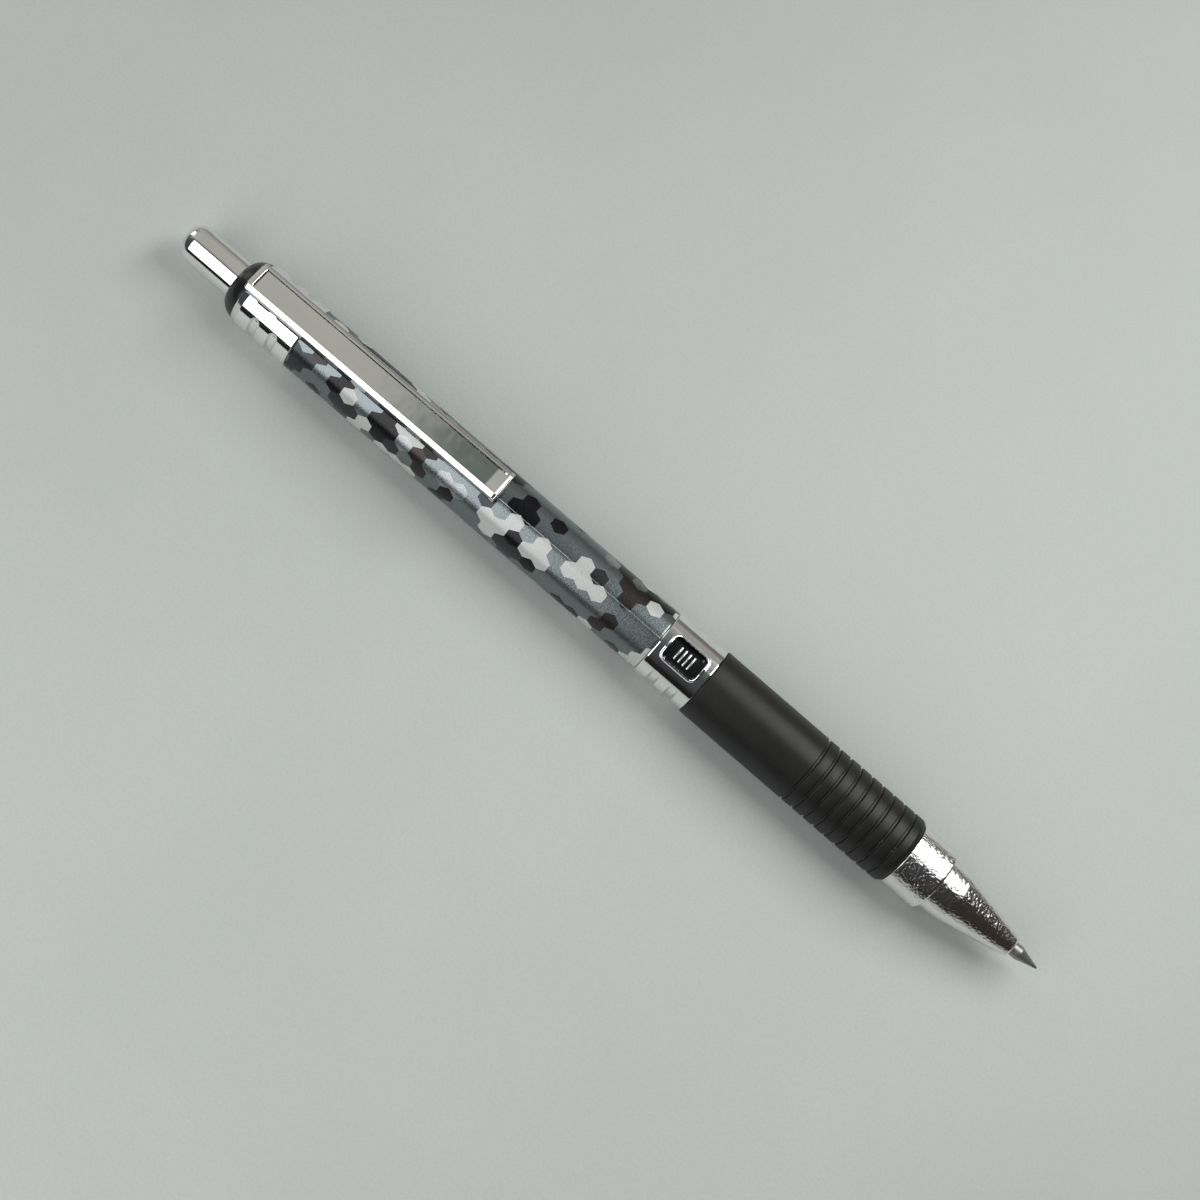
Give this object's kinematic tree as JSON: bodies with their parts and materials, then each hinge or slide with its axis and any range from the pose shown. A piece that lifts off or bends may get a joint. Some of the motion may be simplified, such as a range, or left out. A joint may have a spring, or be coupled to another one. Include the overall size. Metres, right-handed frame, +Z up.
{
  "type": "lead holder",
  "caption": "Push-button clutch lead holder with a pocket clip, hexagon-print barrel, turning grade window, ribbed rubber grip and plated nose cone.",
  "frame": {"origin": "on the surface that the holder lies on, under the middle of its length and under its axis", "axes": "+X along the holder towards its writing end, +Z up through the pocket clip"},
  "size_m": [0.1476, 0.0102, 0.0128],
  "materials": {
    "chrome": "bright chrome plating",
    "plated_nose": "chrome plating with a fine grainy bloom",
    "steel": "drawn steel",
    "spring_steel": "bright spring wire",
    "brass": "turned brass",
    "black_plastic": "satin black moulding",
    "black_gloss": "glossy black moulding with silver tally marks",
    "barrel_plastic": "moulded dark grey plastic",
    "printed_film": "metallic grey film printed with merged hexagons in silver, black, brown and grey",
    "grip_rubber": "matt black grip rubber",
    "brake_rubber": "soft black rubber",
    "eraser": "white eraser rubber",
    "graphite": "dark graphite with a metallic sheen"
  },
  "bodies": {
    "holder": {"end_plug": "black_plastic", "upper_band": "chrome", "barrel_tube": "barrel_plastic", "barrel_film": "printed_film", "grade_drum": "black_gloss", "grip_core": "barrel_plastic", "grip_sleeve": "grip_rubber", "nose_sleeve": "plated_nose", "chuck_sleeve": "brass"},
    "plunger": {"lead_tube": "steel", "eraser_holder": "steel", "eraser": "eraser", "tube_coupling": "barrel_plastic", "return_spring": "spring_steel", "chuck_collar": "brass"},
    "button": {"push_button": "chrome"},
    "jaw_1": {"chuck_jaw_1": "brass"},
    "jaw_2": {"chuck_jaw_2": "brass"},
    "jaw_3": {"chuck_jaw_3": "brass"},
    "ring": {"clutch_ring": "brass"},
    "lead": {"lead": "graphite"},
    "clip": {"pocket_clip": "chrome"},
    "grade_band": {"grade_band": "chrome"},
    "nose": {"nose_cone": "plated_nose", "lead_brake": "brake_rubber"}
  },
  "joints": [
    {"name": "push_slide", "type": "slide", "parent": "holder", "child": "plunger", "axis": [1, 0, 0], "range_m": [0, 0.003], "stiffness_N_per_m": 1000, "springref_m": -0.002, "deforming": ["return_spring"]},
    {"name": "button_pull", "type": "slide", "parent": "plunger", "child": "button", "axis": [-1, 0, 0], "range_m": [0, 0.013]},
    {"name": "jaw_1_tilt", "type": "hinge", "parent": "plunger", "child": "jaw_1", "pos_m": [0.04475, 0, 0.00636], "axis": [0, -1, 0], "range_deg": [0, 1.3]},
    {"name": "jaw_2_tilt", "type": "hinge", "parent": "plunger", "child": "jaw_2", "pos_m": [0.04475, -0.00111, 0.00443], "axis": [0, 0.5, -0.866], "range_deg": [0, 1.3]},
    {"name": "jaw_3_tilt", "type": "hinge", "parent": "plunger", "child": "jaw_3", "pos_m": [0.04475, 0.00111, 0.00443], "axis": [0, 0.5, 0.866], "range_deg": [0, 1.3]},
    {"name": "ring_slide", "type": "slide", "parent": "holder", "child": "ring", "axis": [1, 0, 0], "range_m": [0, 0.0016]},
    {"name": "lead_slide", "type": "slide", "parent": "plunger", "child": "lead", "axis": [1, 0, 0], "range_m": [-0.005, 0.03]},
    {"name": "clip_flex", "type": "hinge", "parent": "holder", "child": "clip", "pos_m": [-0.06035, 0, 0.00988], "axis": [0, -1, 0], "range_deg": [0, 4], "stiffness_Nm_per_rad": 1, "springref_deg": -1.15},
    {"name": "grade_band_turn", "type": "hinge", "parent": "holder", "child": "grade_band", "pos_m": [0.01185, 0, 0.00507], "axis": [1, 0, 0], "continuous": true},
    {"name": "nose_cone_off", "type": "slide", "parent": "holder", "child": "nose", "axis": [1, 0, 0], "range_m": [0, 0.021]}
  ],
  "couplings": [
    {"joint": "jaw_1_tilt", "follows": "push_slide", "rad_per_m": 6.9813},
    {"joint": "jaw_2_tilt", "follows": "push_slide", "rad_per_m": 6.9813},
    {"joint": "jaw_3_tilt", "follows": "push_slide", "rad_per_m": 6.9813},
    {"joint": "ring_slide", "follows": "push_slide", "ratio": 0.5}
  ]
}
